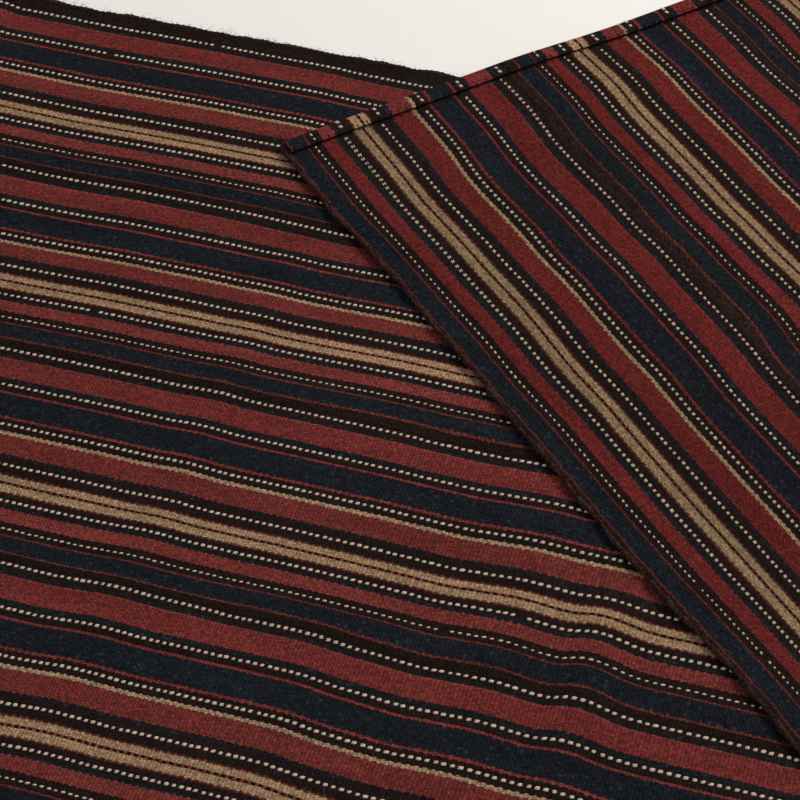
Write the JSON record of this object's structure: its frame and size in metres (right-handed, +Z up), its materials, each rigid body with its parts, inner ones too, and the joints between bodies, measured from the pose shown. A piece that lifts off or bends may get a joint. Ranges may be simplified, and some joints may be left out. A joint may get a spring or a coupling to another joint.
{
  "type": "striped kilim cloth with a corner folded over",
  "caption": "Warp-faced striped wool kilim lying flat, its right-hand part folded over on top so that the back, the woven edge and a narrow hem show.",
  "frame": {"origin": "on the floor, under the middle of the whole outline", "axes": "+X along the stripes of the lower layer, from its left hem to the fold; +Y across them, away from the near woven edge; +Z up"},
  "size_m": [0.9043, 0.8464, 0.0114],
  "materials": {
    "wool": "matt handspun wool, warp-faced weave in red, navy, dark brown and tan stripes with rows of cream floats"
  },
  "bodies": {
    "root": {"kilim": "wool"}
  },
  "joints": []
}
